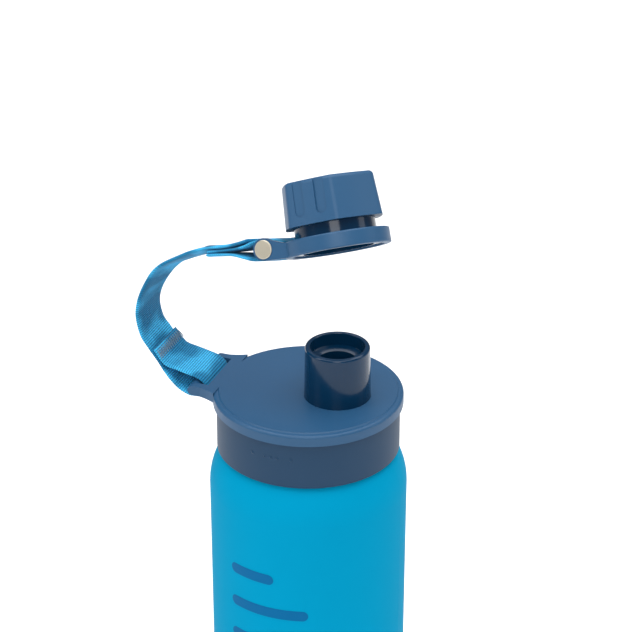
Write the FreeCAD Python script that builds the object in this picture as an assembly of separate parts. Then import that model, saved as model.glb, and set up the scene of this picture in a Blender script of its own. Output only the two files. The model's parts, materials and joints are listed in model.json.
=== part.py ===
"""Drinking bottle with a screw lid, a tall pouring spout and a stopper cap on a webbing tether.

Millimetres, +Z up. The origin is the centre of the flat base. The spout stands towards +X and the
tether ear points towards -X. The cap is drawn where it closes the spout, and is then carried back
along the tether's own joints to its open place: raised, swung about the fold, and tipped about its pin.
"""
import FreeCAD, Part
import math
import os

Vec = FreeCAD.Vector
X_AXIS = Vec(1, 0, 0)
Y_AXIS = Vec(0, 1, 0)
Z_AXIS = Vec(0, 0, 1)

# bottle
BODY_R = 36.55             # widest, just under the shoulder
BASE_R = 35.65             # the side drafts in to this at the base
BASE_ROUND = 4.0
BODY_H = 164.2             # top of the shoulder
SHOULDER_H = 14.8
SHOULDER_IN = 4.55         # how far the shoulder curves in
WALL = 1.9
BASE_THICK = 2.6
NECK_IN = 6.35             # the neck's wall inside the body's widest
NECK_H = 16.6
FOOT_R = 24.0              # middle of the shallow ring pressed into the base
FOOT_WIDE = 4.0
FOOT_DEEP = 0.7

# screw thread between neck and collar
PITCH = 4.0
THREAD_PROUD = 1.0
THREAD_THICK = 1.5
NECK_TURNS = 1.5
COLLAR_TURNS = 1.0
THREAD_GAP = 0.4           # radial room over the ridges

# collar and its marks
COLLAR_WALL = 2.05
COLLAR_GAP = 0.5           # collar's foot over the shoulder
COLLAR_H = 18.2
FLANGE_THICK = 1.6
FLANGE_IN = 4.6
MARK_R = 0.7               # ball that makes a small pip
MARK_BIG_R = 1.1           # ball that makes a large pip
MARK_PROUD = 0.28
MARK_UP = 11.5             # over the collar's foot
MARK_ANGLE = -92.0
MARK_SMALL = (-4.2, 0, 4.2)
MARK_BIG = (-12.9, 12.9)

# gasket
SEAL_THICK = 1.4
SEAL_GAP = 0.3

# cover
COVER_OVERHANG = 1.3
LIP_H = 4.2
LIP_ROUND = 1.1
COVER_THICK = 2.9
STEP_IN = 1.9
STEP_H = 0.4
SKIRT_GAP = 0.5            # skirt inside the neck
SKIRT_WALL = 1.3
SKIRT_H = 5.0
FIT = 0.05                 # between pieces that are pressed together

# tether ear
EAR_OUT = 5.35             # bar's axis outside the cover's edge
ARM_WIDE = 3.0
ARM_GAP = 0.9              # webbing beside each arm
ARM_THICK = 3.8
BAR_R = 2.0
ARM_STRAIGHT = 3.0         # from the bar's axis to where the arm's side starts to flare
SLOT_LONG = 5.1            # from the bar's axis towards the cover
WAIST_ANGLE = 28.0         # where the ear leaves the round, seen from the ear's middle line

# spout
SPOUT_GAP = 0.5            # spout's flange inside the skirt
SPOUT_H = 20.0
SPOUT_R = 12.2
SPOUT_DRAFT = 0.35
SPOUT_ROUND = 1.0
SPOUT_WALL = 1.95          # round the stopper's seat
SEAT_DEPTH = 4.8
LEDGE_DEPTH = 1.1
LEDGE_WIDE = 2.9           # seat down to throat
SPOUT_FLANGE_WIDE = 2.4
SPOUT_FLANGE_THICK = 2.0
SPOUT_SEAL_FROM = 0.5      # gasket outside the spout
SPOUT_SEAL_WIDE = 1.3
SPOUT_SEAL_THICK = 0.9

# stopper cap, measured up from the underside of its tether plate
CAP_GAP = 0.3              # plate over the lid when shut
CORE_GAP = 0.55            # core round the spout
CORE_WALL = 1.9
CORE_TOP_THICK = 2.0
CORE_OVER = 0.6            # core's ceiling over the spout's rim
PLUG_GAP = 0.55
PLUG_WALL = 1.6
PLUG_LONG = 4.3
RING_WIRE = 0.85           # seal ring's section radius
RING_FIT = 0.05            # seal ring inside the spout's seat
SHELL_GAP = 4.3            # bare neck between plate and shell
SHELL_TOP_THICK = 3.55
SHELL_WALL = 1.95          # core to the middle of a side, at the foot
SHELL_DRAFT = 1.05         # how much each flat leans in
SHELL_BULGE = 0.8
SHELL_CORNER_R = 2.6
SHELL_ROUND = 1.5
GROOVE_WIDE = 3.9
GROOVE_APART = 8.4
GROOVE_LONG = 12.9
GROOVE_DEEP = 0.6
GROOVE_SIDES = (1, 3, 5)
SHELL_TURN = 10.9

# tether plate and pin
PLATE_RIM = 2.85           # plate outside its recess
PLATE_THICK = 5.7
PLATE_GAP = 0.25
CLIP_PROUD = 1.5
CLIP_THICK = 1.1
CLIP_UP = 0.5
PIN_CLEAR = 4.0            # pin's axis outside the plate
PIN_UP = 4.7
EYE_R = 4.1
FORK_WIDE = 2.4
FORK_GAP = 0.6             # webbing beside each arm
PIN_R = 2.3
PIN_HEAD_R = 3.4
PIN_HEAD_THICK = 1.1
PIN_PROUD = 0.35
PIN_FIT = 0.05

# webbing
WEB_WIDE = 20.0
WEB_THICK = 1.4
LOOP_THICK = 1.1
WEB_ROOM = 0.5             # webbing round the bar and the pin
TACK_WIDE = 4.4
TACK_THICK = 0.6
TACK_FROM_END = 0.5
SEAM_OUT = 16.9            # the sewn end, outwards from the bar's axis
SEAM_UP = 11.6
LAYER_OUT = 1.15           # the strap under the sewn end, outwards from it
LAYER_DOWN = 0.9
STRAP_LIFT = 2.45          # the strap's middle over the pin loop, where they are sewn
STRAP_END = 8.3            # the strap's cut end from the pin
PIN_LOOP_END = 25.0
FOLD_CLEAR = 1.6

# webbing routes: (outwards, up) from the bar's axis, (outwards, up) from the fold, (back, up) from the pin
SEWN_LEG = ((-13.6, 7.3), (-11.4, 5.9), (-7.4, 5.1), (-3.2, 4.2), (-0.2, 3.5), (1.9, 2.5), (3.5, 0.9))
HANGING_LEG = ((3.8, -1.2), (2.9, -2.9), (1.2, -4.0), (-1.0, -4.3), (-3.4, -4.2), (-7.0, -2.6),
               (-10.4, 0.4), (-12.9, 3.5), (-15.4, 7.2))
BOW = ((-0.9, -2.7), (-2.8, -5.3), (-6.2, -10.8), (-8.5, -16.4), (-9.3, -22.1))
PIN_LOOP_UNDER = ((20.0, -0.25), (15.0, -0.75), (11.0, -1.9), (6.5, -3.2))
PIN_LOOP_OVER = ((6.0, 2.9), (10.0, 1.75), (15.0, 1.1))

# how the cap opens: the fold in the tether, the tip about the pin, and the rise off the spout
FOLD_OUT = 14.05           # the fold is this far outside the ear's bar
FOLD_UP = 20.4             # and this far over the raised plate
FOLD_YAW = 34.2
FOLD_DEG = 42.4
TIP_DEG = -14.6
RISE_OVER = 2.32           # the plate rises this far over the spout

# levels that follow from the sizes above
NECK_R = BODY_R - NECK_IN
COLLAR_Z = BODY_H + COLLAR_GAP
COLLAR_TOP = COLLAR_Z + COLLAR_H
COLLAR_IN_R = NECK_R + THREAD_PROUD + THREAD_GAP
COLLAR_R = COLLAR_IN_R + COLLAR_WALL
FLANGE_TOP = COLLAR_TOP + FLANGE_THICK
LID_TOP = FLANGE_TOP + COVER_THICK
COVER_R = COLLAR_R + COVER_OVERHANG
SKIRT_R = NECK_R - WALL - SKIRT_GAP
NECK_TOP = BODY_H + NECK_H
SEAL_Z = NECK_TOP + SEAL_GAP
EAR_X = -COVER_R - EAR_OUT
EAR_Z = LID_TOP - ARM_THICK / 2
EAR_HALF = WEB_WIDE / 2 + ARM_GAP + ARM_WIDE
SPOUT_TOP_R = SPOUT_R - SPOUT_DRAFT
SEAT_R = SPOUT_TOP_R - SPOUT_WALL
THROAT_R = SEAT_R - LEDGE_WIDE
SPOUT_FLANGE_R = SPOUT_R + SPOUT_FLANGE_WIDE
SPOUT_SEAL_IN = SPOUT_R + SPOUT_SEAL_FROM
SPOUT_SEAL_OUT = SPOUT_SEAL_IN + SPOUT_SEAL_WIDE
SPOUT_X = SKIRT_R - SKIRT_WALL - SPOUT_GAP - SPOUT_FLANGE_R
CAP_Z = LID_TOP + CAP_GAP
CORE_IN_R = SPOUT_R + CORE_GAP
CORE_R = CORE_IN_R + CORE_WALL
CORE_CEILING = SPOUT_H - CAP_GAP + CORE_OVER
CORE_TOP = CORE_CEILING + CORE_TOP_THICK
CLIP_R = CORE_R + CLIP_PROUD
PLUG_R = SEAT_R - PLUG_GAP
SHELL_FROM = PLATE_THICK + SHELL_GAP
SHELL_TOP = CORE_TOP + SHELL_TOP_THICK + FIT
SHELL_H = SHELL_TOP - SHELL_FROM
SHELL_FLATS = 2 * (CORE_R + SHELL_WALL)
PLATE_R = CLIP_R + PLATE_RIM
PIN_OUT = PLATE_R + PIN_CLEAR
FORK_HALF = WEB_WIDE / 2 + FORK_GAP + FORK_WIDE
RISE = SPOUT_H + RISE_OVER
FOLD_X = EAR_X - FOLD_OUT
FOLD_Z = CAP_Z + RISE + FOLD_UP
SEAM_X = EAR_X - SEAM_OUT
SEAM_Z = EAR_Z + SEAM_UP
PIN_WRAP = PIN_R + WEB_ROOM + LOOP_THICK / 2


def tube(outer, inner, low, high):
    """A round tube about Z."""
    height = high - low
    body = Part.makeCylinder(outer, height, Vec(0, 0, low))
    return body.cut(Part.makeCylinder(inner, height + 2, Vec(0, 0, low - 1)))


def turned(edges):
    """A solid turned about Z from a closed outline in the XZ plane."""
    return Part.Face(Part.Wire(edges)).revolve(Vec(0, 0, 0), Z_AXIS, 360)


def line(a, b):
    return Part.LineSegment(Vec(a[0], 0, a[1]), Vec(b[0], 0, b[1])).toShape()


def arc(a, b, c):
    points = [Vec(p[0], 0, p[1]) for p in (a, b, c)]
    return Part.Arc(*points).toShape()


def corner(centre_x, centre_z, radius, degrees):
    """The point of a circle at an angle from +X."""
    turn = math.radians(degrees)
    return (centre_x + radius * math.cos(turn), centre_z + radius * math.sin(turn))


def quarter(centre_x, centre_z, radius, first, last):
    """A quarter of a circle."""
    return arc(*[corner(centre_x, centre_z, radius, d) for d in (first, (first + last) / 2, last)])


def shoulder_spot(offset, rise):
    """Where the shoulder's large curve, offset inwards, reaches a height above the straight side."""
    radius = (SHOULDER_H ** 2 + SHOULDER_IN ** 2) / (2 * SHOULDER_IN)
    centre_x = BODY_R - radius
    return (centre_x + math.sqrt((radius - offset) ** 2 - rise ** 2), BODY_H - SHOULDER_H + rise)


def wall_outline(offset, floor, top):
    """Half of the bottle's outline from the axis at the floor to the top of the neck, offset inwards."""
    side_z = BODY_H - SHOULDER_H
    wide = BODY_R - offset
    foot = BASE_R - offset
    bend = BASE_ROUND - offset / 2
    top_rise = SHOULDER_H - offset
    shoulder, shelf = shoulder_spot(offset, top_rise)
    neck = NECK_R - offset
    return [
        line((0, floor), (foot - bend, floor)),
        quarter(foot - bend, floor + bend, bend, -90, 0),
        line((foot, floor + bend), (wide, side_z)),
        arc((wide, side_z), shoulder_spot(offset, top_rise / 2), (shoulder, shelf)),
        line((shoulder, shelf), (neck, shelf)),
        line((neck, shelf), (neck, top)),
    ]


def ridge(radius, inwards, turns, low):
    """A helical thread ridge standing proud of a wall, rooted a little inside it."""
    root = radius + (0.3 if inwards else -0.3)
    crest = radius - THREAD_PROUD if inwards else radius + THREAD_PROUD
    half = THREAD_THICK / 2
    slope = 0.3 * THREAD_PROUD
    spots = [(root, half + slope), (crest, half - slope), (crest, slope - half), (root, -half - slope)]
    spots = [Vec(r, 0, low + z) for r, z in spots]
    profile = Part.makePolygon(spots + spots[:1])
    helix = Part.makeHelix(PITCH, PITCH * turns, radius)
    helix.translate(Vec(0, 0, low))
    return Part.Wire(helix).makePipeShell([profile], True, True)


def bottle_body():
    outer = wall_outline(0, 0, NECK_TOP)
    inner = wall_outline(WALL, BASE_THICK, NECK_TOP)
    rim = line((NECK_R, NECK_TOP), (NECK_R - WALL, NECK_TOP))
    axis = line((0, BASE_THICK), (0, 0))
    body = turned(outer + [rim] + inner[::-1] + [axis])
    body = body.cut(Part.makeTorus(FOOT_R, FOOT_WIDE / 2, Vec(0, 0, FOOT_DEEP - FOOT_WIDE / 2)))
    low = BODY_H + COLLAR_GAP + PITCH
    return body.fuse(ridge(NECK_R, False, NECK_TURNS, low))


def lid_seal():
    return tube(NECK_R, SKIRT_R + FIT + SEAL_GAP, SEAL_Z, SEAL_Z + SEAL_THICK)


def collar_marks():
    """Small raised pips in a row on the collar, a larger one at each end."""
    marks = []
    for radius, angles in ((MARK_R, MARK_SMALL), (MARK_BIG_R, MARK_BIG)):
        for angle in angles:
            turn = math.radians(MARK_ANGLE + angle)
            middle = COLLAR_R + MARK_PROUD - radius
            spot = Vec(middle * math.cos(turn), middle * math.sin(turn), COLLAR_Z + MARK_UP)
            marks.append(Part.makeSphere(radius, spot))
    return marks


def lid_collar():
    wall = tube(COLLAR_R, COLLAR_IN_R, COLLAR_Z, COLLAR_TOP)
    foot = [e for e in wall.Edges if abs(e.BoundBox.ZMax - COLLAR_Z) < 1e-6]
    wall = wall.makeChamfer(0.35, foot)
    flange = tube(COLLAR_R, COLLAR_R - FLANGE_IN, COLLAR_TOP, FLANGE_TOP)
    low = BODY_H + COLLAR_GAP + PITCH * 1.5
    collar = wall.fuse([flange, ridge(COLLAR_IN_R, True, COLLAR_TURNS, low)] + collar_marks())
    return collar.removeSplitter()


def cover_disc():
    """The round lid cover: lip, rounded edge, fine step and the skirt that plugs the neck."""
    lip_in = COLLAR_R + FIT
    lip_low = FLANGE_TOP + COVER_THICK - STEP_H - LIP_H
    rim_z = LID_TOP - STEP_H
    step_r = COVER_R - STEP_IN
    skirt_in = SKIRT_R - SKIRT_WALL
    skirt_low = FLANGE_TOP - SKIRT_H
    return turned([
        line((0, FLANGE_TOP), (skirt_in, FLANGE_TOP)),
        line((skirt_in, FLANGE_TOP), (skirt_in, skirt_low)),
        line((skirt_in, skirt_low), (SKIRT_R, skirt_low)),
        line((SKIRT_R, skirt_low), (SKIRT_R, FLANGE_TOP)),
        line((SKIRT_R, FLANGE_TOP), (lip_in, FLANGE_TOP)),
        line((lip_in, FLANGE_TOP), (lip_in, lip_low)),
        line((lip_in, lip_low), (COVER_R, lip_low)),
        line((COVER_R, lip_low), (COVER_R, rim_z - LIP_ROUND)),
        quarter(COVER_R - LIP_ROUND, rim_z - LIP_ROUND, LIP_ROUND, 0, 90),
        line((COVER_R - LIP_ROUND, rim_z), (step_r, rim_z)),
        line((step_r, rim_z), (step_r - STEP_H, LID_TOP)),
        line((step_r - STEP_H, LID_TOP), (0, LID_TOP)),
        line((0, LID_TOP), (0, FLANGE_TOP)),
    ])


def ear_outline(low):
    """The ear from above: it leaves the round cover in a hollow curve and ends straight at the bar."""
    turn = math.radians(WAIST_ANGLE)
    waist = Vec(-COVER_R * math.cos(turn), COVER_R * math.sin(turn), low)
    bend = Vec(EAR_X + ARM_STRAIGHT, EAR_HALF, low)
    hollow = (bend + waist) * 0.5 - Vec(0, 0.3, 0)
    edges = [
        Part.Arc(waist, hollow, bend).toShape(),
        Part.LineSegment(bend, Vec(EAR_X - BAR_R, EAR_HALF, low)).toShape(),
    ]
    mirrored = [e.mirror(Vec(0, 0, low), Y_AXIS) for e in edges]
    tip = Part.LineSegment(Vec(EAR_X - BAR_R, EAR_HALF, low), Vec(EAR_X - BAR_R, -EAR_HALF, low))
    back = Part.LineSegment(Vec(waist.x, -waist.y, low), waist)
    return Part.Wire(Part.__sortEdges__(edges + [tip.toShape(), back.toShape()] + mirrored))


def ear():
    low = EAR_Z - ARM_THICK / 2
    plate = Part.Face(ear_outline(low)).extrude(Vec(0, 0, ARM_THICK))
    wide = 2 * EAR_HALF + 20
    end = Part.makeCylinder(ARM_THICK / 2, wide, Vec(EAR_X, -wide / 2, EAR_Z), Y_AXIS)
    shank = Part.makeBox(-EAR_X, wide, ARM_THICK, Vec(EAR_X, -wide / 2, low))
    plate = plate.common(end.fuse(shank))
    inside = EAR_HALF - ARM_WIDE
    slot = Part.makeBox(SLOT_LONG + 10, 2 * inside, ARM_THICK + 2,
                        Vec(EAR_X - 10, -inside, low - 1))
    bar = Part.makeCylinder(BAR_R, 2 * inside + 2, Vec(EAR_X, -inside - 1, EAR_Z), Y_AXIS)
    bore = Part.makeCylinder(COVER_R - STEP_IN - STEP_H, 40, Vec(0, 0, low - 20))
    return plate.cut(slot).fuse(bar).cut(bore)


def lid_cover():
    collar_room = Part.makeCylinder(COLLAR_R + FIT, FLANGE_TOP - COLLAR_Z, Vec(0, 0, COLLAR_Z))
    cover = cover_disc().fuse(ear().cut(collar_room))
    hole = Part.makeCylinder(SPOUT_R + FIT, COVER_THICK + 2, Vec(SPOUT_X, 0, FLANGE_TOP - 1))
    return cover.cut(hole).removeSplitter()


def spout_insert():
    top = LID_TOP + SPOUT_H
    low = FLANGE_TOP - SPOUT_FLANGE_THICK
    seat = top - SEAT_DEPTH
    flat = SPOUT_ROUND
    insert = turned([
        line((THROAT_R, low), (SPOUT_FLANGE_R, low)),
        line((SPOUT_FLANGE_R, low), (SPOUT_FLANGE_R, FLANGE_TOP)),
        line((SPOUT_FLANGE_R, FLANGE_TOP), (SPOUT_R, FLANGE_TOP)),
        line((SPOUT_R, FLANGE_TOP), (SPOUT_R, LID_TOP)),
        line((SPOUT_R, LID_TOP), (SPOUT_TOP_R, top - flat)),
        quarter(SPOUT_TOP_R - flat, top - flat, flat, 0, 90),
        line((SPOUT_TOP_R - flat, top), (SEAT_R + flat / 2, top)),
        quarter(SEAT_R + flat / 2, top - flat / 2, flat / 2, 90, 180),
        line((SEAT_R, top - flat / 2), (SEAT_R, seat)),
        line((SEAT_R, seat), (THROAT_R, seat - LEDGE_DEPTH)),
        line((THROAT_R, seat - LEDGE_DEPTH), (THROAT_R, low)),
    ])
    groove = tube(SPOUT_SEAL_OUT + FIT, SPOUT_SEAL_IN - FIT, FLANGE_TOP - SPOUT_SEAL_THICK - FIT, top)
    insert = insert.cut(groove)
    insert.translate(Vec(SPOUT_X, 0, 0))
    return insert


def spout_gasket():
    """The flat ring that seals the spout's flange to the underside of the cover."""
    ring = tube(SPOUT_SEAL_OUT, SPOUT_SEAL_IN, FLANGE_TOP - SPOUT_SEAL_THICK, FLANGE_TOP)
    ring.translate(Vec(SPOUT_X, 0, 0))
    return ring


def hexagon(flats, z):
    """A six-sided ring with bowed sides, its corners left sharp."""
    reach = flats / 2 / math.cos(math.radians(30))
    corners = []
    for n in range(6):
        turn = math.radians(60 * n)
        corners.append(Vec(reach * math.cos(turn), reach * math.sin(turn), z))
    sides = []
    for n in range(6):
        a = corners[n]
        b = corners[(n + 1) % 6]
        middle = (a + b) * 0.5
        out = Vec(middle.x, middle.y, 0).normalize()
        sides.append(Part.Arc(a, middle + out * SHELL_BULGE, b).toShape())
    return Part.Wire(sides)


def shell_groove(side):
    """A finger groove with a round end, open at the top."""
    flats = SHELL_FLATS / 2 - SHELL_DRAFT + SHELL_BULGE
    foot = SHELL_TOP - GROOVE_LONG + GROOVE_WIDE / 2
    grooves = []
    for y in (-GROOVE_APART / 2, GROOVE_APART / 2):
        start = Vec(flats - GROOVE_DEEP, y, foot)
        round_end = Part.makeCylinder(GROOVE_WIDE / 2, 5, start, X_AXIS)
        slot = Part.makeBox(5, GROOVE_WIDE, GROOVE_LONG, start - Vec(0, GROOVE_WIDE / 2, 0))
        grooves.append(round_end.fuse(slot))
    both = Part.makeCompound(grooves)
    lean = math.degrees(math.atan(SHELL_DRAFT / SHELL_H))
    both.rotate(Vec(flats, 0, SHELL_TOP), Y_AXIS, -lean)
    both.rotate(Vec(0, 0, 0), Z_AXIS, 60 * side - 30)
    return both


def cap_shell():
    foot = hexagon(SHELL_FLATS, SHELL_FROM)
    head = hexagon(SHELL_FLATS - 2 * SHELL_DRAFT, SHELL_TOP)
    shell = Part.makeLoft([foot, head], True, True)
    upright = [e for e in shell.Edges if e.BoundBox.ZLength > SHELL_H - 1]
    shell = shell.makeFillet(SHELL_CORNER_R, upright)
    top = [e for e in shell.Edges if e.BoundBox.ZMin > SHELL_TOP - 0.01]
    shell = shell.makeFillet(SHELL_ROUND, top)
    for side in GROOVE_SIDES:
        shell = shell.cut(shell_groove(side))
    room = Part.makeCylinder(CORE_R + FIT, CORE_TOP + FIT - SHELL_FROM + 1, Vec(0, 0, SHELL_FROM - 1))
    shell = shell.cut(room)
    shell.rotate(Vec(0, 0, 0), Z_AXIS, SHELL_TURN)
    return shell


def cap_core():
    """The smooth neck round the spout, closed above, with the plug hanging inside."""
    clip_top = CLIP_UP + CLIP_THICK
    neck = tube(CORE_R, CORE_IN_R, CLIP_UP, CORE_CEILING)
    disc = Part.makeCylinder(CORE_R, CORE_TOP_THICK, Vec(0, 0, CORE_CEILING))
    plug = tube(PLUG_R, PLUG_R - PLUG_WALL, CORE_CEILING - PLUG_LONG, CORE_CEILING)
    core = neck.fuse(disc).fuse(plug)
    groove_r = CORE_R - CORE_WALL / 3
    core = core.cut(tube(CORE_R + 1, groove_r, CLIP_UP + 0.1, clip_top))
    return core.cut(seal_ring_shape(FIT)).removeSplitter()


def seal_ring_shape(extra):
    ring_r = SEAT_R - RING_FIT - RING_WIRE
    ring_z = CORE_CEILING - PLUG_LONG / 2
    return Part.makeTorus(ring_r, RING_WIRE + extra, Vec(0, 0, ring_z))


def cap_seal_ring():
    return seal_ring_shape(0)


def retaining_ring():
    """A split ring sprung into the core's groove. It runs in the plate's recess."""
    inner = CORE_R - CORE_WALL / 3 + FIT
    ring = tube(CLIP_R, inner, CLIP_UP + 0.15, CLIP_UP + CLIP_THICK - 0.05)
    gap = Part.makeBox(CLIP_R, 2.4, 4, Vec(0, -1.2, 0))
    return ring.cut(gap)


def fork_arm(side):
    """One arm of the fork: a round eye joined to the ring by a bar that thins towards the ring."""
    y = side * FORK_HALF - (FORK_WIDE if side > 0 else 0)
    eye = Part.makeCylinder(EYE_R, FORK_WIDE, Vec(-PIN_OUT, y, PIN_UP), Y_AXIS)
    low = PIN_UP - EYE_R
    spots = [(-PIN_OUT, low), (-9, 0), (-9, PLATE_THICK), (-15, PLATE_THICK), (-PIN_OUT, PIN_UP + EYE_R)]
    outline = Part.makePolygon([Vec(x, y, z) for x, z in spots + spots[:1]])
    return eye.fuse(Part.Face(outline).extrude(Vec(0, FORK_WIDE, 0)))


def tether_plate():
    ring = Part.makeCylinder(PLATE_R, PLATE_THICK)
    ring = ring.makeFillet(0.6, [e for e in ring.Edges if e.BoundBox.ZLength < 0.01])
    plate = ring.fuse(fork_arm(1)).fuse(fork_arm(-1))
    recess_top = CLIP_UP + CLIP_THICK + PLATE_GAP
    plate = plate.cut(Part.makeCylinder(CORE_R + PLATE_GAP, PLATE_THICK + 2, Vec(0, 0, -1)))
    plate = plate.cut(Part.makeCylinder(CLIP_R + PLATE_GAP, recess_top + 1, Vec(0, 0, -1)))
    bore = Part.makeCylinder(PIN_R + PIN_FIT, 60, Vec(-PIN_OUT, -30, PIN_UP), Y_AXIS)
    plate = plate.cut(bore)
    for side in (1, -1):
        start = Vec(-PIN_OUT, side * (FORK_HALF - PIN_HEAD_THICK), PIN_UP)
        plate = plate.cut(Part.makeCylinder(PIN_HEAD_R + PIN_FIT, 5, start, Y_AXIS * side))
    return plate.removeSplitter()


def pin_head(side):
    """A shallow domed head sunk into the fork's arm."""
    reach = PIN_HEAD_THICK - FIT + PIN_PROUD
    start = Vec(-PIN_OUT, side * (FORK_HALF - PIN_HEAD_THICK + FIT), PIN_UP)
    head = Part.makeCylinder(PIN_HEAD_R, reach, start, Y_AXIS * side)
    outer = [e for e in head.Edges if abs(abs(e.BoundBox.YMin) - abs(start.y) - reach) < 1e-3]
    return head.makeFillet(0.3, outer)


def hinge_pin():
    """The pin and its fixed head, on the side of -Y."""
    near = FORK_HALF - PIN_HEAD_THICK + 2 * FIT
    far = near - FIT
    shaft = Part.makeCylinder(PIN_R, near + far, Vec(-PIN_OUT, -near, PIN_UP), Y_AXIS)
    return shaft.fuse(pin_head(-1)).removeSplitter()


def pin_end_cap():
    """The head pressed on to the other end."""
    return pin_head(1)


def fold_axis():
    yaw = math.radians(FOLD_YAW)
    return Vec(math.sin(yaw), math.cos(yaw), 0)


def open_place():
    """The placement that carries a cap piece from its shut place, drawn about the axis, to its open one."""
    rise = FreeCAD.Placement(Vec(SPOUT_X, 0, CAP_Z + RISE), FreeCAD.Rotation())
    fold = FreeCAD.Placement(Vec(), FreeCAD.Rotation(fold_axis(), -FOLD_DEG), Vec(FOLD_X, 0, FOLD_Z))
    tip_point = (fold * rise).multVec(Vec(-PIN_OUT, 0, PIN_UP))
    tip_axis = fold.Rotation.multVec(Y_AXIS)
    tip = FreeCAD.Placement(Vec(), FreeCAD.Rotation(tip_axis, -TIP_DEG), tip_point)
    return tip * fold * rise, tip_point, tip_axis


def opened(shape):
    place, _, _ = open_place()
    moved = shape.copy()
    moved.Placement = place
    return moved


def band(spots, widths, thick):
    """Webbing as straight-sided lengths: a flat section set square to the run at every spot."""
    sections = []
    for n, spot in enumerate(spots):
        before = spots[max(n - 1, 0)]
        after = spots[min(n + 1, len(spots) - 1)]
        run = (after - before).normalize()
        across = (widths[n] - run * widths[n].dot(run)).normalize() * (WEB_WIDE / 2)
        up = run.cross(across).normalize() * (thick / 2)
        ring = [spot + across + up, spot - across + up, spot - across - up, spot + across - up]
        sections.append(Part.makePolygon(ring + ring[:1]))
    return Part.makeLoft(sections, True, True)


def round_pin(first, last, steps):
    """Spots round the hinge pin, as (back, up) offsets."""
    spots = []
    for n in range(steps + 1):
        turn = math.radians(first + (last - first) * n / steps)
        spots.append((PIN_WRAP * math.cos(turn), PIN_WRAP * math.sin(turn)))
    return spots


def flat_band(spots, thick):
    return band([Vec(x, 0, z) for x, z in spots], [Y_AXIS] * len(spots), thick)


def from_bar(spots):
    return [(EAR_X + x, EAR_Z + z) for x, z in spots]


def lower_route():
    """The lower loop: down on the inside from the sewn end, loosely round the bar, and back up underneath."""
    layer = (SEAM_X - LAYER_OUT, SEAM_Z - LAYER_DOWN)
    return [(SEAM_X, SEAM_Z)] + from_bar(SEWN_LEG) + from_bar(HANGING_LEG) + [layer]


def webbing_lower_loop():
    return flat_band(lower_route(), WEB_THICK)


def pin_frame():
    """Pin centre, the way back to the fold, and square to both."""
    _, centre, across = open_place()
    back = Vec(FOLD_X, 0, FOLD_Z) - centre
    back = (back - across * back.dot(across)).normalize()
    return centre, back, across, across.cross(back)


def by_pin(spots):
    centre, back, _, up = pin_frame()
    return [centre + back * a + up * b for a, b in spots]


def webbing_pin_loop():
    """The short doubled piece that goes round the pin."""
    wrap = round_pin(-80, -280, 8)
    under = [(PIN_LOOP_END, -0.15)] + list(PIN_LOOP_UNDER)
    over = list(PIN_LOOP_OVER) + [(PIN_LOOP_END - 0.5, 1.0)]
    spots = by_pin(under + wrap + over)
    return band(spots, [pin_frame()[2]] * len(spots), LOOP_THICK)


def webbing_upper():
    """The strap's upper end, sewn over the pin loop, from its cut edge to the fold."""
    centre, back, across, up = pin_frame()
    reach = (Vec(FOLD_X, 0, FOLD_Z) - centre).dot(back)
    spots = by_pin([(STRAP_END, STRAP_LIFT + 1.4), (13.0, STRAP_LIFT + 0.5), (18.0, STRAP_LIFT),
                    (PIN_LOOP_END, STRAP_LIFT), (31.5, STRAP_LIFT - 0.85), (reach - 9.0, 0.8),
                    (reach - FOLD_CLEAR, -1.1)])
    turns = [across] * 5 + [across + fold_axis() * 0.3, across + fold_axis() * 0.8]
    return band(spots, turns, WEB_THICK)


def webbing_run():
    """The bowed middle of the strap, from the fold down to the seam, turning as it falls."""
    _, _, across, _ = pin_frame()
    spots = [Vec(FOLD_X + x, 0, FOLD_Z + z) for x, z in BOW]
    spots.append(Vec(SEAM_X - 5.0, 0, SEAM_Z + 4.6))
    spots.append(Vec(SEAM_X - LAYER_OUT - 1.0, 0, SEAM_Z - LAYER_DOWN + 1.35))
    last = len(spots) - 1
    widths = [across * (1 - n / last) + Y_AXIS * (n / last) for n in range(len(spots))]
    return band(spots, widths, WEB_THICK)


def lower_tack():
    """The dense bar of stitching across the seam."""
    a = lower_route()[0]
    b = lower_route()[1]
    run = Vec(b[0] - a[0], 0, b[1] - a[1]).normalize()
    up = run.cross(Y_AXIS) * (WEB_THICK / 2 + TACK_THICK / 2)
    first = Vec(a[0], 0, a[1]) + up + run * TACK_FROM_END
    return band([first, first + run * TACK_WIDE], [Y_AXIS] * 2, TACK_THICK)


def upper_tack():
    lift = STRAP_LIFT + WEB_THICK / 2 + TACK_THICK / 2
    spots = by_pin([(21.0, lift), (21.0 + TACK_WIDE, lift)])
    return band(spots, [pin_frame()[2]] * 2, TACK_THICK)


FIXED = {
    "bottle_body": bottle_body,
    "lid_seal": lid_seal,
    "lid_collar": lid_collar,
    "lid_cover": lid_cover,
    "spout_insert": spout_insert,
    "spout_gasket": spout_gasket,
    "webbing_lower_loop": webbing_lower_loop,
    "lower_tack": lower_tack,
    "webbing_run": webbing_run,
    "webbing_upper": webbing_upper,
    "webbing_pin_loop": webbing_pin_loop,
    "upper_tack": upper_tack,
}
CARRIED = {
    "tether_plate": tether_plate,
    "hinge_pin": hinge_pin,
    "pin_end_cap": pin_end_cap,
    "cap_core": cap_core,
    "cap_shell": cap_shell,
    "cap_seal_ring": cap_seal_ring,
    "retaining_ring": retaining_ring,
}


def main():
    os.makedirs("parts", exist_ok=True)
    pieces = {name: make() for name, make in FIXED.items()}
    pieces.update({name: opened(make()) for name, make in CARRIED.items()})
    for name, shape in pieces.items():
        shape.exportStep("parts/" + name + ".step")
        print(name, len(shape.Solids), shape.isValid(), round(shape.Volume, 1))
    _, pin, axis = open_place()
    print("pin", pin, "axis", axis, "fold axis", fold_axis())


main()
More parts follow.
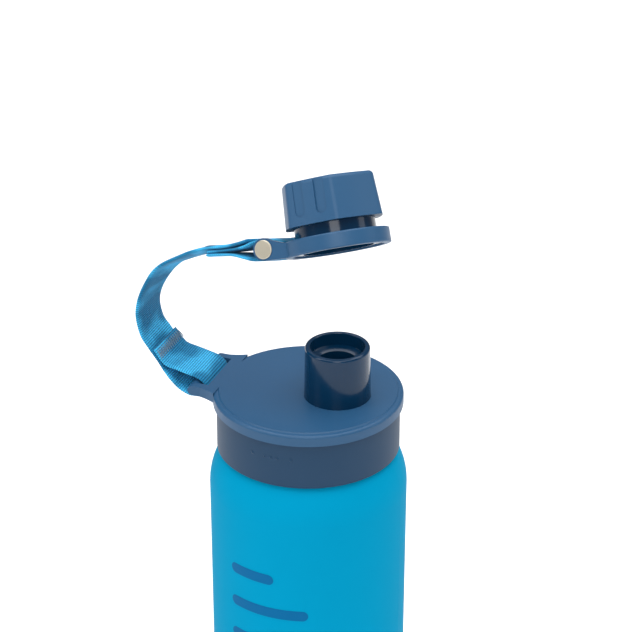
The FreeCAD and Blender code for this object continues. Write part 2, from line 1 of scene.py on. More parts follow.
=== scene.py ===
"""Finishes and studio for a drinking bottle with a screw lid, a spout and a stopper cap on a webbing tether.

Everything is in metres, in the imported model's frame: +Z up, the spout towards +X, the tether ear towards -X.
"""

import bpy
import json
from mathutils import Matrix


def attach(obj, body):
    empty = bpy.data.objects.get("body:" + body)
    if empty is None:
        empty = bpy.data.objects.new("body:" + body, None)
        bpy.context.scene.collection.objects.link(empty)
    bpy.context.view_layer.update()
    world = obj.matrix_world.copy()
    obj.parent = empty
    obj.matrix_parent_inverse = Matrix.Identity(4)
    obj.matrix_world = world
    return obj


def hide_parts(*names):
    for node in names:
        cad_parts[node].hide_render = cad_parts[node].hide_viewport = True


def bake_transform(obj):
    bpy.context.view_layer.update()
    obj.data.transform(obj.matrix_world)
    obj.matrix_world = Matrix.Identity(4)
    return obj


bl_info = {
    "name": "Tethered Cap Bottle",
    "version": (1, 0, 0),
    "blender": (4, 5, 0),
    "location": "3D View > Sidebar > Bottle",
    "description": "Builds the webbing tether, stitching and level marks, and finishes every moulded piece",
    "category": "Object",
}

import json
import math

import bmesh
import bpy
from mathutils import Vector

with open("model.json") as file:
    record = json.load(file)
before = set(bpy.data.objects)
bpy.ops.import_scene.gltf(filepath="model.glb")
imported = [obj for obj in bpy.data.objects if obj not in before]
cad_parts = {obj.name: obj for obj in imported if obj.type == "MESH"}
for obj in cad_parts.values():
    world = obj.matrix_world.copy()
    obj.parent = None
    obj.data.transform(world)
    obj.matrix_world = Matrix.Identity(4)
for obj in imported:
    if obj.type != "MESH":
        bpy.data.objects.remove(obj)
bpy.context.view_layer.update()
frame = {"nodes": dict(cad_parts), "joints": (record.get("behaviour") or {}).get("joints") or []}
JOINTS = {joint["name"]: joint for joint in frame["joints"]}
NODES = frame["nodes"]
MM = 0.001
Z_AXIS = Vector((0, 0, 1))
Y_AXIS = Vector((0, 1, 0))


# ---------------------------------------------------------------- sizes and colours a user would change

def length(label, note, default):
    return bpy.props.FloatProperty(name=label, description=note, default=default,
                                   subtype="DISTANCE", unit="LENGTH")


def colour(label, note, default):
    return bpy.props.FloatVectorProperty(name=label, description=note, default=default, size=3, min=0, max=1,
                                         subtype="COLOR")


def amount(label, note, default):
    return bpy.props.FloatProperty(name=label, description=note, default=default)


class WebbingSizes(bpy.types.PropertyGroup):
    width: length("Width", "Webbing from selvedge to selvedge", 19.8 * MM)
    thickness: length("Thickness", "Strap webbing, without its ribs", 1.15 * MM)
    loop_thickness: length("Loop thickness", "The thinner webbing round the pin", 0.95 * MM)
    rib_pitch: length("Rib pitch", "From one cross rib to the next", 0.86 * MM)
    rib_height: length("Rib height", "How far a rib stands proud", 0.15 * MM)
    thread: length("Thread", "Diameter of the sewing thread", 0.42 * MM)


class MarkSizes(bpy.types.PropertyGroup):
    lowest: length("Lowest", "Height of the lowest level mark", 28 * MM)
    step: length("Step", "From one level mark to the next", 14 * MM)
    count: bpy.props.IntProperty(name="Count", description="Level marks on the body", default=8)
    long_bar: length("Long bar", "Length of every other mark", 32 * MM)
    short_bar: length("Short bar", "Length of the marks between", 19 * MM)
    height: length("Bar height", "How tall each rounded bar is", 4.2 * MM)
    proud: length("Ink", "Thickness of the printed ink", 0.05 * MM)
    bearing: bpy.props.FloatProperty(name="Bearing", description="Where the bars start, round from the spout",
                                     default=math.radians(-119), subtype="ANGLE")


class FinishColours(bpy.types.PropertyGroup):
    body: colour("Body", "Frosted blue of the bottle", (0.0, 0.262, 0.458))
    ink: colour("Ink", "Level marks printed on the body", (0.001, 0.112, 0.28))
    collar: colour("Collar", "Matte ring under the cover", (0.007, 0.038, 0.088))
    lid: colour("Lid", "Cover, cap shell and tether plate", (0.017, 0.075, 0.165))
    spout: colour("Spout", "Glossy spout and cap neck", (0.001, 0.024, 0.064))
    webbing: colour("Webbing", "Ground colour of the strap", (0.012, 0.24, 0.47))
    # The dark webbing colour is painted shade: it is mixed in where the ribs and threads are low, darkening
    # the grooves.
    webbing_groove_shade: colour("Webbing dark", "Painted shade in the strap's grooves", (0.012, 0.04, 0.09))
    webbing_bright: colour("Webbing bright", "Bright threads of the strap", (0.06, 0.55, 0.95))
    thread: colour("Thread", "Sewing thread", (0.10, 0.20, 0.30))
    metal: colour("Pin", "Nickel-plated pin", (0.62, 0.57, 0.46))
    silicone: colour("Silicone", "Gaskets and the cap's seal ring", (0.55, 0.58, 0.62))


class StageSettings(bpy.types.PropertyGroup):
    azimuth: bpy.props.FloatProperty(name="Azimuth", description="Camera's bearing", subtype="ANGLE",
                                     default=math.radians(21.5))
    elevation: bpy.props.FloatProperty(name="Elevation", description="Camera's height angle", subtype="ANGLE",
                                       default=math.radians(27.4))
    distance: length("Distance", "Camera from its aim", 1.08193)
    aim_x: length("Aim X", "What the camera looks at", 3.02 * MM)
    aim_z: length("Aim height", "Height of what the camera looks at", 217.88 * MM)
    lens: amount("Lens", "Focal length in millimetres", 170.9)
    ambient: amount("Ambient", "Strength of the even light all round", 0.22)


# ---------------------------------------------------------------- shader effects shared by several materials

def effect_group(name, inputs, outputs):
    """A shader node group. inputs is {socket: (type, default)} and outputs is {socket: type}."""
    tree = bpy.data.node_groups.new(name, "ShaderNodeTree")
    for label, (kind, default) in inputs.items():
        socket = tree.interface.new_socket(label, in_out="INPUT", socket_type=kind)
        socket.default_value = default
    for label, kind in outputs.items():
        tree.interface.new_socket(label, in_out="OUTPUT", socket_type=kind)
    return tree, tree.nodes.new("NodeGroupInput").outputs, tree.nodes.new("NodeGroupOutput").inputs


def add(tree, kind, links=(), **settings):
    """A node with its inputs linked or set. links is {input: socket or value}."""
    node = tree.nodes.new(kind)
    for name, value in settings.items():
        setattr(node, name, value)
    for key, value in dict(links).items():
        if isinstance(value, bpy.types.NodeSocket):
            tree.links.new(value, node.inputs[key])
        else:
            node.inputs[key].default_value = value
    return node


def maths(tree, operation, first, second=0.0):
    return add(tree, "ShaderNodeMath", {0: first, 1: second}, operation=operation).outputs[0]


def remap(tree, value, low, high, new_low, new_high):
    node = add(tree, "ShaderNodeMapRange", {"Value": value, "From Min": low, "From Max": high,
                                            "To Min": new_low, "To Max": new_high})
    return node.outputs[0]


def noise(tree, vector, scale, detail=2.0):
    node = add(tree, "ShaderNodeTexNoise", {"Scale": scale, "Detail": detail})
    tree.links.new(vector, node.inputs["Vector"])
    return node.outputs["Fac"]


def moulded_grain_group():
    """The fine spark-eroded grain of a mould, and how it makes the gloss wander."""
    tree, inside, out = effect_group("moulded_grain", {
        "Size": ("NodeSocketFloat", 2600.0),
        "Roughness": ("NodeSocketFloat", 0.45),
        "Wander": ("NodeSocketFloat", 0.06),
    }, {"Height": "NodeSocketFloat", "Roughness": "NodeSocketFloat"})
    place = add(tree, "ShaderNodeTexCoord").outputs["Object"]
    fine = noise(tree, place, inside["Size"], 3.0)
    coarse = noise(tree, place, maths(tree, "MULTIPLY", inside["Size"], 0.31), 2.0)
    height = maths(tree, "ADD", maths(tree, "MULTIPLY", fine, 0.6), maths(tree, "MULTIPLY", coarse, 0.4))
    tree.links.new(height, out["Height"])
    handled = noise(tree, place, 38.0, 4.0)
    spread = maths(tree, "MULTIPLY", maths(tree, "SUBTRACT", handled, 0.5), inside["Wander"])
    speck = maths(tree, "MULTIPLY", maths(tree, "SUBTRACT", fine, 0.5), 0.05)
    total = maths(tree, "ADD", maths(tree, "ADD", inside["Roughness"], spread), speck)
    tree.links.new(total, out["Roughness"])
    return tree


def colour_drift_group():
    """Pigment that is a little deeper in some places than in others."""
    tree, inside, out = effect_group("colour_drift", {
        "Color": ("NodeSocketColor", (0.5, 0.5, 0.5, 1)),
        "Size": ("NodeSocketFloat", 30.0),
        "Amount": ("NodeSocketFloat", 0.08),
    }, {"Color": "NodeSocketColor"})
    place = add(tree, "ShaderNodeTexCoord").outputs["Object"]
    drift = maths(tree, "SUBTRACT", noise(tree, place, inside["Size"], 3.0), 0.5)
    gain = maths(tree, "ADD", maths(tree, "MULTIPLY", drift, inside["Amount"]), 1.0)
    scaled = add(tree, "ShaderNodeVectorMath", {0: inside["Color"]}, operation="SCALE")
    tree.links.new(gain, scaled.inputs["Scale"])
    tree.links.new(scaled.outputs[0], out["Color"])
    return tree


def woven_band_group():
    """Threads of ribbed webbing. Along and across are distances from the mesh's own measure."""
    tree, inside, out = effect_group("woven_band", {
        "Rib Pitch": ("NodeSocketFloat", 0.86 * MM),
        "Thread Pitch": ("NodeSocketFloat", 0.42 * MM),
    }, {"Height": "NodeSocketFloat", "Painted Shade": "NodeSocketFloat", "Patch": "NodeSocketFloat",
        "Streak": "NodeSocketFloat"})
    measure = add(tree, "ShaderNodeAttribute", attribute_name="measure").outputs["Vector"]
    axes = add(tree, "ShaderNodeSeparateXYZ", {0: measure}).outputs
    along, across = axes[0], axes[1]
    column = maths(tree, "DIVIDE", across, inside["Thread Pitch"])
    parity = maths(tree, "MODULO", maths(tree, "FLOOR", maths(tree, "ADD", column, 200.0)), 2.0)
    turn = maths(tree, "DIVIDE", along, inside["Rib Pitch"])
    row = maths(tree, "ADD", turn, maths(tree, "MULTIPLY", parity, 0.5))
    over = maths(tree, "ABSOLUTE", maths(tree, "SINE", maths(tree, "MULTIPLY", row, math.pi)))
    strand = maths(tree, "ABSOLUTE", maths(tree, "SINE", maths(tree, "MULTIPLY", column, math.pi)))
    weave = maths(tree, "MULTIPLY", maths(tree, "POWER", over, 0.6), maths(tree, "POWER", strand, 0.5))
    swell = maths(tree, "ABSOLUTE", maths(tree, "SINE", maths(tree, "MULTIPLY", turn, math.pi)))
    rib = maths(tree, "POWER", swell, 1.4)
    height = maths(tree, "ADD", maths(tree, "MULTIPLY", rib, 0.7), maths(tree, "MULTIPLY", weave, 0.3))
    tree.links.new(height, out["Height"])
    # The inverse of the rib and weave height: a mask for painted shade that darkens the grooves between ribs
    # and threads.
    tree.links.new(maths(tree, "SUBTRACT", 1.0, height), out["Painted Shade"])
    warp = add(tree, "ShaderNodeVectorMath", {0: measure, 1: (1.0, 0.55, 0.0)},
               operation="MULTIPLY").outputs[0]
    patch = noise(tree, warp, 92.0, 1.0)
    tree.links.new(remap(tree, patch, 0.46, 0.60, 0.0, 1.0), out["Patch"])
    streak = noise(tree, add(tree, "ShaderNodeVectorMath", {0: measure, 1: (0.5, 6.0, 0.0)},
                             operation="MULTIPLY").outputs[0], 420.0, 2.0)
    tree.links.new(streak, out["Streak"])
    return tree


# ---------------------------------------------------------------- materials

def new_material(name):
    """A material with its node tree and its main shader."""
    material = bpy.data.materials.new(name)
    material.use_nodes = True
    tree = material.node_tree
    shader = next(n for n in tree.nodes if n.type == "BSDF_PRINCIPLED")
    return material, tree, shader


def use_group(tree, name, links=()):
    node = tree.nodes.new("ShaderNodeGroup")
    node.node_tree = bpy.data.node_groups[name]
    for key, value in dict(links).items():
        if isinstance(value, bpy.types.NodeSocket):
            tree.links.new(value, node.inputs[key])
        else:
            node.inputs[key].default_value = value
    return node.outputs


def relief(tree, shader, height, strength, distance):
    bump = add(tree, "ShaderNodeBump", {"Height": height, "Strength": strength, "Distance": distance})
    tree.links.new(bump.outputs["Normal"], shader.inputs["Normal"])


def opaque(rgb):
    return (rgb[0], rgb[1], rgb[2], 1.0)


def moulded(name, rgb, roughness, grain, depth, drift=0.08, wander=0.06, specular=0.5):
    """Moulded plastic: drifting pigment, a fine grain and gloss that wanders."""
    material, tree, shader = new_material(name)
    pigment = use_group(tree, "colour_drift", {"Color": opaque(rgb), "Amount": drift})
    surface = use_group(tree, "moulded_grain", {"Size": grain, "Roughness": roughness, "Wander": wander})
    tree.links.new(pigment["Color"], shader.inputs["Base Color"])
    tree.links.new(surface["Roughness"], shader.inputs["Roughness"])
    shader.inputs["Specular IOR Level"].default_value = specular
    relief(tree, shader, surface["Height"], 0.35, depth)
    return material, tree, shader


def body_plastic(rgb):
    """Frosted clear blue: soft, with light spreading a little under the surface."""
    material, _, shader = moulded("frosted_body", rgb, 0.56, 2400.0, 0.02 * MM, drift=0.05, specular=0.06)
    shader.inputs["IOR"].default_value = 1.2
    shader.inputs["Subsurface Weight"].default_value = 0.12
    shader.inputs["Subsurface Radius"].default_value = (0.2, 0.8, 1.0)
    shader.inputs["Subsurface Scale"].default_value = 1.2 * MM
    return material


def collar_plastic(rgb):
    material, _, _ = moulded("matte_collar", rgb, 0.52, 2900.0, 0.03 * MM, specular=0.25)
    return material


def lid_plastic(rgb):
    material, _, _ = moulded("satin_lid", rgb, 0.43, 2600.0, 0.025 * MM, specular=0.32)
    return material


def spout_plastic(rgb):
    """Polished plastic with a clear top layer and faint handling marks."""
    material, _, shader = moulded("gloss_spout", rgb, 0.16, 900.0, 0.004 * MM, wander=0.10, specular=0.22)
    shader.inputs["Coat Weight"].default_value = 0.15
    shader.inputs["Coat Roughness"].default_value = 0.07
    return material


def silicone_rubber(rgb):
    material, _, shader = moulded("silicone", rgb, 0.6, 1500.0, 0.01 * MM, specular=0.35)
    shader.inputs["Subsurface Weight"].default_value = 0.2
    shader.inputs["Subsurface Scale"].default_value = 0.8 * MM
    return material


def clip_plastic(rgb):
    material, _, _ = moulded("clip_plastic", rgb, 0.35, 1800.0, 0.01 * MM)
    return material


def pin_metal(rgb):
    """Nickel plate with a fine grain and gloss that wanders."""
    material, _, shader = moulded("nickel_pin", rgb, 0.36, 2200.0, 0.01 * MM, drift=0.12, wander=0.14)
    shader.inputs["Metallic"].default_value = 0.9
    return material


def level_ink(rgb):
    material, _, _ = moulded("level_ink", rgb, 0.5, 2400.0, 0.01 * MM, specular=0.05)
    return material


def webbing_cloth(colours):
    """Ribbed polyester webbing in two blues, with a dark blue painted in as shade in the grooves between its
    ribs and threads.
    """
    material, tree, shader = new_material("webbing_cloth")
    weave = use_group(tree, "woven_band")
    ground = add(tree, "ShaderNodeMix", {"Factor": weave["Patch"], 6: opaque(colours.webbing),
                                         7: opaque(colours.webbing_bright)}, data_type="RGBA")
    # Painted shade: the dark blue is mixed in where the ribs and threads are low.
    dark = maths(tree, "MULTIPLY", weave["Painted Shade"], 0.85)
    shaded = add(tree, "ShaderNodeMix", {"Factor": dark, 6: ground.outputs[2],
                                         7: opaque(colours.webbing_groove_shade)}, data_type="RGBA")
    gain = remap(tree, weave["Streak"], 0.3, 0.7, 0.82, 1.16)
    streaked = add(tree, "ShaderNodeVectorMath", {0: shaded.outputs[2]}, operation="SCALE")
    tree.links.new(gain, streaked.inputs["Scale"])
    tree.links.new(streaked.outputs[0], shader.inputs["Base Color"])
    tree.links.new(remap(tree, weave["Height"], 0.0, 1.0, 0.85, 0.55), shader.inputs["Roughness"])
    shader.inputs["Sheen Weight"].default_value = 0.08
    shader.inputs["Sheen Roughness"].default_value = 0.45
    shader.inputs["Specular IOR Level"].default_value = 0.12
    relief(tree, shader, weave["Height"], 0.8, 0.09 * MM)
    return material


def sewing_thread(rgb):
    """Twisted thread: a fine diagonal twist round each stitch."""
    material, tree, shader = new_material("sewing_thread")
    place = add(tree, "ShaderNodeTexCoord").outputs["Object"]
    twist = add(tree, "ShaderNodeTexWave", {"Vector": place, "Scale": 900.0, "Distortion": 1.5},
                bands_direction="DIAGONAL").outputs["Fac"]
    pigment = use_group(tree, "colour_drift", {"Color": opaque(rgb), "Size": 400.0, "Amount": 0.35})
    tree.links.new(pigment["Color"], shader.inputs["Base Color"])
    tree.links.new(remap(tree, twist, 0.0, 1.0, 0.72, 0.5), shader.inputs["Roughness"])
    shader.inputs["Sheen Weight"].default_value = 0.3
    relief(tree, shader, twist, 0.6, 0.05 * MM)
    return material


def floor_paint():
    """Matt white paint with a trace of roller texture."""
    material, _, _ = moulded("floor_paint", (0.92, 0.92, 0.92), 0.8, 500.0, 0.05 * MM,
                             drift=0.01, specular=0.1)
    return material


# ---------------------------------------------------------------- paths and small meshes

def joint_point(name):
    return Vector(JOINTS[name]["pos_m"])


def joint_axis(name):
    return Vector(JOINTS[name]["axis"]).normalized()


def curve_point(a, b, c, d, t):
    """A point between b and c on the smooth curve through four points."""
    square = 2 * a - 5 * b + 4 * c - d
    cube = 3 * b - a - 3 * c + d
    return 0.5 * ((2 * b) + (c - a) * t + square * t ** 2 + cube * t ** 3)


def smooth_route(points, fine=24):
    """A smooth line through the points, as many short steps."""
    ends = [2 * points[0] - points[1]] + list(points) + [2 * points[-1] - points[-2]]
    line = []
    for n in range(1, len(ends) - 2):
        line += [curve_point(*ends[n - 1:n + 3], step / fine) for step in range(fine)]
    return line + [points[-1]]


def even_steps(line, across, step):
    """The line and its width directions at even distances, with the distance of each."""
    run = [0.0]
    for a, b in zip(line, line[1:]):
        run.append(run[-1] + (b - a).length)
    count = max(2, round(run[-1] / step))
    spots, widths, places, n = [], [], [], 0
    for k in range(count + 1):
        goal = run[-1] * k / count
        while n < len(run) - 2 and run[n + 1] < goal:
            n += 1
        t = (goal - run[n]) / max(run[n + 1] - run[n], 1e-12)
        spots.append(line[n].lerp(line[n + 1], min(t, 1.0)))
        widths.append(across[n].lerp(across[n + 1], min(t, 1.0)))
        places.append(goal)
    return spots, widths, places


def finish_mesh(name, bm, material, smooth=True):
    """Turns the working mesh into an object in the scene."""
    bmesh.ops.recalc_face_normals(bm, faces=bm.faces)
    mesh = bpy.data.meshes.new(name)
    bm.to_mesh(mesh)
    bm.free()
    mesh.materials.append(material)
    if smooth:
        mesh.shade_smooth()
    piece = bpy.data.objects.new(name, mesh)
    bpy.context.scene.collection.objects.link(piece)
    return piece


STITCH_SPACING = 1.7
STITCH_LEAN = 0.8
RIB_STEPS = 6
ACROSS_STEPS = 22


def band_ring(half_width, thickness, rise):
    """The webbing's section as (across, up) pairs: flat faces, full selvedges."""
    ring = []
    for face in (1, -1):
        for n in range(ACROSS_STEPS + 1):
            u = face * (1 - 2 * n / ACROSS_STEPS)
            roll = (1 - abs(u) ** 14) ** 0.5 if abs(u) < 1 else 0.0
            edge = min(1.0, 0.25 + 0.75 * roll)
            ring.append((u * half_width, face * (thickness / 2 * edge + rise * roll)))
    return ring


def ribbed_band(name, spots, widths, places, sizes, thickness, material):
    """Webbing along a route. Each station's section swells and thins to make the cross ribs."""
    bm = bmesh.new()
    measure = bm.verts.layers.float_vector.new("measure")
    loops = []
    for n, spot in enumerate(spots):
        run = (spots[min(n + 1, len(spots) - 1)] - spots[max(n - 1, 0)]).normalized()
        across = (widths[n] - run * widths[n].dot(run)).normalized()
        up = run.cross(across)
        wave = 0.5 - 0.5 * math.cos(2 * math.pi * places[n] / sizes.rib_pitch)
        loop = []
        for side, height in band_ring(sizes.width / 2, thickness, sizes.rib_height * wave):
            vert = bm.verts.new(spot + across * side + up * height)
            vert[measure] = (places[n], side, 0.0)
            loop.append(vert)
        loops.append(loop)
    for a, b in zip(loops, loops[1:]):
        for k in range(len(a)):
            m = (k + 1) % len(a)
            bm.faces.new((a[k], a[m], b[m], b[k]))
    bm.faces.new(loops[0])
    bm.faces.new(loops[-1][::-1])
    return finish_mesh(name, bm, material)


def thread_stitch(bm, start, end, up, radius, arch):
    """One stitch: a thin round thread that arches out of the cloth and back into it."""
    steps, sides = 6, 7
    run = (end - start).normalized()
    side = run.cross(up).normalized()
    loops = []
    for n in range(steps + 1):
        t = n / steps
        centre = start.lerp(end, t) + up * (arch * math.sin(math.pi * t) - radius * 0.6)
        taper = radius * (0.72 + 0.28 * math.sin(math.pi * t))
        loop = []
        for k in range(sides):
            turn = 2 * math.pi * k / sides
            round_it = side * (taper * math.cos(turn)) + up * (taper * math.sin(turn))
            loop.append(bm.verts.new(centre + round_it))
        loops.append(loop)
    for a, b in zip(loops, loops[1:]):
        for k in range(sides):
            m = (k + 1) % sides
            bm.faces.new((a[k], a[m], b[m], b[k]))
    bm.faces.new(loops[0])
    bm.faces.new(loops[-1][::-1])


def bar_tack(name, centre, run, across, up, sizes, length_along, material):
    """A bar of zigzag stitching across the webbing."""
    bm = bmesh.new()
    width = sizes.width - 1.2 * MM
    count = round(width / (sizes.thread * STITCH_SPACING))
    for n in range(count):
        offset = across * (width * (n / (count - 1) - 0.5))
        lean = across * (sizes.thread * (STITCH_LEAN if n % 2 else -STITCH_LEAN))
        start = centre + offset - run * (length_along / 2) - lean
        end = centre + offset + run * (length_along / 2) + lean
        thread_stitch(bm, start, end, up, sizes.thread / 2, sizes.thread * 0.5)
    return finish_mesh(name, bm, material)


# ---------------------------------------------------------------- the tether's route

def strap_frame():
    """The pin's centre and axis, the way back from it to the fold, and square to both."""
    pin = joint_point("cap_tip")
    across = -joint_axis("cap_tip")
    back = joint_point("strap_fold") - pin
    back = (back - across * back.dot(across)).normalized()
    return pin, back, across, across.cross(back)


def by_pin(along, up):
    pin, back, _, square = strap_frame()
    return pin + back * (along * MM) + square * (up * MM)


def by_bar(x, z):
    return joint_point("strap_swing") + Vector((x * MM, 0, z * MM))


def by_fold(x, z):
    return joint_point("strap_fold") + Vector((x * MM, 0, z * MM))


SEWN_LEG = ((-16.9, 11.6), (-13.6, 7.3), (-11.4, 5.9), (-7.4, 5.1), (-3.2, 4.2), (-0.2, 3.5), (1.9, 2.5),
            (3.5, 0.9))
HANGING_LEG = ((3.8, -1.2), (2.9, -2.9), (1.2, -4.0), (-1.0, -4.3), (-3.4, -4.2), (-7.0, -2.6), (-10.4, 0.4),
               (-12.9, 3.5), (-15.4, 7.2), (-18.05, 10.7), (-19.05, 12.05), (-21.9, 16.2))
BOW = ((-9.3, -22.1), (-8.5, -16.4), (-6.2, -10.8), (-2.8, -5.3))
CUT_SPOT = (-2.8, -5.3)
TWIST_POINTS = 8
UPPER_LEG = ((31.5, 1.6), (25.0, 2.45), (18.0, 2.45), (13.0, 2.95), (8.3, 3.85))
LOOP_UNDER = ((25.0, -0.15), (20.0, -0.25), (15.0, -0.75), (11.0, -1.9), (6.5, -3.2))
LOOP_OVER = ((6.0, 2.9), (10.0, 1.75), (15.0, 1.1), (24.5, 1.0))
LOOP_RADIUS = 3.35


def strap_route():
    """From the sewn end, loosely round the bar, up the bow and over to the cut end by the pin."""
    low = [by_bar(*spot) for spot in SEWN_LEG + HANGING_LEG]
    bow = [by_fold(*spot) for spot in BOW]
    pin, back, _, _ = strap_frame()
    reach = (joint_point("strap_fold") - pin).dot(back) / MM
    over = [by_pin(reach - 1.6, -1.1), by_pin(reach - 9, 0.8)] + [by_pin(*spot) for spot in UPPER_LEG]
    return low + bow + over, len(low)


def strap_widths(points, turned_from):
    """The width direction at each point: along the bar, then turning to the pin's axis."""
    _, _, across, _ = strap_frame()
    widths = []
    for n in range(len(points)):
        t = (n - turned_from + 2) / TWIST_POINTS
        t = max(0.0, min(1.0, t))
        widths.append(Y_AXIS.lerp(across, t).normalized())
    return widths


def nearest(spots, point):
    return min(range(len(spots)), key=lambda n: (spots[n] - point).length)


# ---------------------------------------------------------------- operators

def settings(context):
    scene = context.scene
    return scene.webbing_sizes, scene.mark_sizes, scene.finish_colours, scene.stage_settings


def paint(names, material):
    """Gives CAD nodes their material."""
    for name in names:
        node = NODES[name]
        node.data.materials.clear()
        node.data.materials.append(material)


class BOTTLE_OT_shader_effects(bpy.types.Operator):
    """Makes the shader effects that the finishes share"""
    bl_idname = "bottle.shader_effects"
    bl_label = "Shader effects"

    def execute(self, context):
        moulded_grain_group()
        colour_drift_group()
        woven_band_group()
        return {"FINISHED"}


class BOTTLE_OT_finish_body(bpy.types.Operator):
    """Frosts the bottle's body"""
    bl_idname = "bottle.finish_body"
    bl_label = "Bottle body"

    def execute(self, context):
        _, _, colours, _ = settings(context)
        paint(["bottle_body"], body_plastic(colours.body))
        return {"FINISHED"}


class BOTTLE_OT_finish_lid(bpy.types.Operator):
    """Finishes the collar, the cover, the spout and their gaskets"""
    bl_idname = "bottle.finish_lid"
    bl_label = "Lid"

    def execute(self, context):
        _, _, colours, _ = settings(context)
        paint(["lid_collar"], collar_plastic(colours.collar))
        paint(["lid_cover", "tether_plate", "cap_shell"], lid_plastic(colours.lid))
        paint(["spout_insert", "cap_core"], spout_plastic(colours.spout))
        paint(["lid_seal", "spout_gasket", "cap_seal_ring"], silicone_rubber(colours.silicone))
        paint(["retaining_ring"], clip_plastic(colours.lid))
        paint(["hinge_pin", "pin_end_cap"], pin_metal(colours.metal))
        return {"FINISHED"}


class BOTTLE_OT_sew_strap(bpy.types.Operator):
    """Weaves the strap from its sewn end round the bar and over to the cap"""
    bl_idname = "bottle.sew_strap"
    bl_label = "Strap"

    def execute(self, context):
        sizes, _, colours, _ = settings(context)
        points, turned_from = strap_route()
        line = smooth_route(points)
        widths = smooth_route(strap_widths(points, turned_from))
        spots, widths, places = even_steps(line, widths, sizes.rib_pitch / RIB_STEPS)
        cut = nearest(spots, by_fold(*CUT_SPOT))
        cloth = webbing_cloth(colours)
        lower = ribbed_band("strap_lower", spots[:cut + 1], widths[:cut + 1], places[:cut + 1], sizes,
                            sizes.thickness, cloth)
        upper = ribbed_band("strap_upper", spots[cut:], widths[cut:], places[cut:], sizes,
                            sizes.thickness, cloth)
        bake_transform(lower)
        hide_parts("webbing_lower_loop", "webbing_run")
        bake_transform(upper)
        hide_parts("webbing_upper")
        return {"FINISHED"}


class BOTTLE_OT_sew_pin_loop(bpy.types.Operator):
    """Weaves the short doubled loop round the cap's pin"""
    bl_idname = "bottle.sew_pin_loop"
    bl_label = "Pin loop"

    def execute(self, context):
        sizes, _, _, _ = settings(context)
        wrap = []
        for n in range(9):
            turn = math.radians(-80 - 200 * n / 8)
            wrap.append((LOOP_RADIUS * math.cos(turn), LOOP_RADIUS * math.sin(turn)))
        points = [by_pin(*spot) for spot in LOOP_UNDER + tuple(wrap) + LOOP_OVER]
        _, _, across, _ = strap_frame()
        line = smooth_route(points)
        spots, widths, places = even_steps(line, [across] * len(line), sizes.rib_pitch / RIB_STEPS)
        loop = ribbed_band("pin_loop", spots, widths, places, sizes, sizes.loop_thickness,
                           bpy.data.materials["webbing_cloth"])
        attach(loop, "strap_high")
        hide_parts("webbing_pin_loop")
        return {"FINISHED"}


class BOTTLE_OT_stitch_tacks(bpy.types.Operator):
    """Sews the two bars of zigzag stitching"""
    bl_idname = "bottle.stitch_tacks"
    bl_label = "Bar tacks"

    def execute(self, context):
        sizes, _, colours, _ = settings(context)
        thread = sewing_thread(colours.thread)
        a, b = by_bar(*SEWN_LEG[0]), by_bar(*SEWN_LEG[1])
        run = (b - a).normalized()
        up = run.cross(Y_AXIS)
        up = up if up.x > 0 else -up
        centre = a + run * 2.7 * MM + up * (sizes.thickness / 2 + sizes.rib_height)
        lower = bar_tack("lower_stitching", centre, run, Y_AXIS, up, sizes, 3.8 * MM, thread)
        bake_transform(lower)
        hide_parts("lower_tack")
        _, back, across, square = strap_frame()
        centre = by_pin(23.2, 2.45) + square * (sizes.thickness / 2 + sizes.rib_height)
        upper = bar_tack("upper_stitching", centre, back, across, square, sizes, 3.8 * MM, thread)
        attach(upper, "strap_high")
        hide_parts("upper_tack")
        return {"FINISHED"}


def side_radius():
    """The body's outer radius at a height, from its straight side's two ends."""
    points = [(math.hypot(v.co.x, v.co.y), v.co.z) for v in NODES["bottle_body"].data.vertices]
    top = max(points)
    foot = max(p for p in points if p[1] < top[1] * 0.1)
    return lambda z: foot[0] + (top[0] - foot[0]) * (z - foot[1]) / (top[1] - foot[1])


def level_bar(bm, radius_at, z, bearing, length_round, sizes):
    """One rounded bar of ink that follows the body's curve."""
    steps = 40
    half = sizes.height / 2
    columns = []
    for n in range(steps + 1):
        along = length_round * (0.5 - 0.5 * math.cos(math.pi * n / steps))
        from_end = min(along, length_round - along)
        tall = half if from_end >= half else math.sqrt(max(half ** 2 - (half - from_end) ** 2, 0.0))
        tall = max(tall, half * 0.02)
        turn = bearing + along / radius_at(z)
        out = Vector((math.cos(turn), math.sin(turn), 0))
        column = []
        for height, proud in ((-tall, 0.0), (-tall, sizes.proud), (tall, sizes.proud), (tall, 0.0)):
            column.append(bm.verts.new(out * (radius_at(z + height) + proud) + Z_AXIS * (z + height)))
        columns.append(column)
    for a, b in zip(columns, columns[1:]):
        for k in range(4):
            m = (k + 1) % 4
            bm.faces.new((a[k], a[m], b[m], b[k]))
    bm.faces.new(columns[0])
    bm.faces.new(columns[-1][::-1])


class BOTTLE_OT_print_marks(bpy.types.Operator):
    """Prints a ladder of rounded level bars on the body"""
    bl_idname = "bottle.print_marks"
    bl_label = "Level marks"

    def execute(self, context):
        _, marks, colours, _ = settings(context)
        radius_at = side_radius()
        bm = bmesh.new()
        for n in range(marks.count):
            z = marks.lowest + marks.step * n
            size = marks.long_bar if n % 2 == 0 else marks.short_bar
            level_bar(bm, radius_at, z, marks.bearing, size, marks)
        bars = finish_mesh("level_marks", bm, level_ink(colours.ink), smooth=False)
        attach(bars, "bottle")
        return {"FINISHED"}


def softbox(name, place, aim, wide, tall, power):
    light = bpy.data.lights.new(name, "AREA")
    light.shape = "RECTANGLE"
    light.size = wide
    light.size_y = tall
    light.energy = power
    lamp = bpy.data.objects.new(name, light)
    lamp.location = place
    lamp.rotation_euler = (Vector(aim) - Vector(place)).to_track_quat("-Z", "Y").to_euler()
    bpy.context.scene.collection.objects.link(lamp)


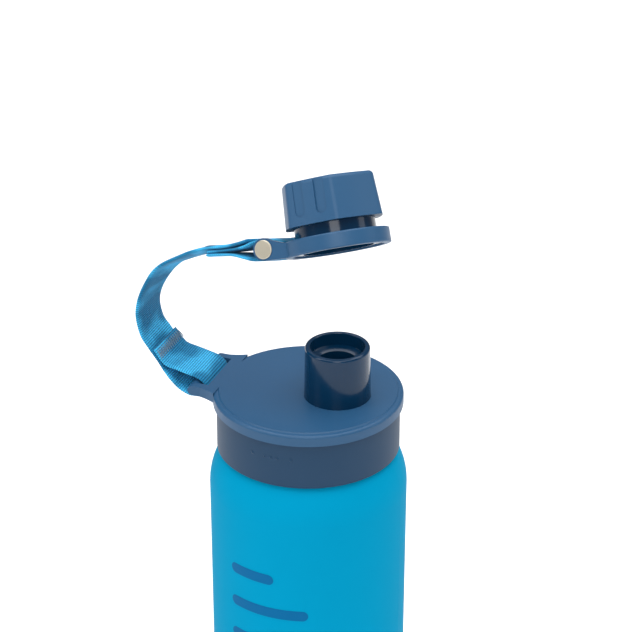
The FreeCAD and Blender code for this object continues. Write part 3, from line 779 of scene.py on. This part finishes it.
class BOTTLE_OT_set_stage(bpy.types.Operator):
    """Sets the pale floor, the studio light and the camera"""
    bl_idname = "bottle.set_stage"
    bl_label = "Stage"

    def execute(self, context):
        _, _, _, stage = settings(context)
        self.lay_floor()
        self.hang_lights(context.scene, stage)
        self.place_camera(context.scene, stage)
        return {"FINISHED"}

    def lay_floor(self):
        bm = bmesh.new()
        bmesh.ops.create_grid(bm, x_segments=24, y_segments=24, size=4.0)
        floor = finish_mesh("floor", bm, floor_paint())

    def hang_lights(self, scene, stage):
        world = bpy.data.worlds.new("studio")
        world.use_nodes = True
        background = next(n for n in world.node_tree.nodes if n.type == "BACKGROUND")
        background.inputs["Color"].default_value = (1, 1, 1, 1)
        background.inputs["Strength"].default_value = stage.ambient
        scene.world = world
        scene.view_settings.view_transform = "Standard"
        aim = (0, 0, 0.18)
        softbox("key_box", (0.45, -1.3, 0.95), aim, 0.7, 0.7, 8.0)
        softbox("fill_box", (-1.0, -0.8, 0.9), aim, 0.4, 0.8, 4.0)
        softbox("rim_box", (1.1, 0.4, 0.8), aim, 0.4, 0.8, 2.0)
        softbox("top_box", (-0.05, 0.2, 2.0), (-0.05, 0.2, 0), 3.0, 3.0, 84.0)

    def place_camera(self, scene, stage):
        data = bpy.data.cameras.new("camera")
        data.lens = stage.lens
        data.sensor_width = 36
        data.clip_start = 0.05
        data.clip_end = 50
        camera = bpy.data.objects.new("camera", data)
        azimuth, elevation = stage.azimuth, stage.elevation
        back = Vector((math.sin(azimuth) * math.cos(elevation), -math.cos(azimuth) * math.cos(elevation),
                       math.sin(elevation)))
        camera.location = Vector((stage.aim_x, 0, stage.aim_z)) + back * stage.distance
        camera.rotation_euler = (-back).to_track_quat("-Z", "Y").to_euler()
        scene.collection.objects.link(camera)
        scene.camera = camera


class BOTTLE_PT_panel(bpy.types.Panel):
    """Shows a button for each step that builds the bottle"""
    bl_label = "Bottle"
    bl_idname = "BOTTLE_PT_panel"
    bl_space_type = "VIEW_3D"
    bl_region_type = "UI"
    bl_category = "Bottle"

    def draw(self, context):
        for step in STEPS:
            self.layout.operator(step.bl_idname)


GROUPS = {
    "webbing_sizes": WebbingSizes,
    "mark_sizes": MarkSizes,
    "finish_colours": FinishColours,
    "stage_settings": StageSettings,
}
STEPS = (
    BOTTLE_OT_shader_effects,
    BOTTLE_OT_finish_body,
    BOTTLE_OT_finish_lid,
    BOTTLE_OT_sew_strap,
    BOTTLE_OT_sew_pin_loop,
    BOTTLE_OT_stitch_tacks,
    BOTTLE_OT_print_marks,
    BOTTLE_OT_set_stage,
)


def register():
    for group in GROUPS.values():
        bpy.utils.register_class(group)
    for name, group in GROUPS.items():
        setattr(bpy.types.Scene, name, bpy.props.PointerProperty(type=group))
    for step in STEPS + (BOTTLE_PT_panel,):
        bpy.utils.register_class(step)


def unregister():
    for step in reversed(STEPS + (BOTTLE_PT_panel,)):
        bpy.utils.unregister_class(step)
    for name, group in GROUPS.items():
        delattr(bpy.types.Scene, name)
        bpy.utils.unregister_class(group)


def main():
    register()
    for step in STEPS:
        group, name = step.bl_idname.split(".")
        getattr(getattr(bpy.ops, group), name)()


if __name__ == "__main__":
    main()
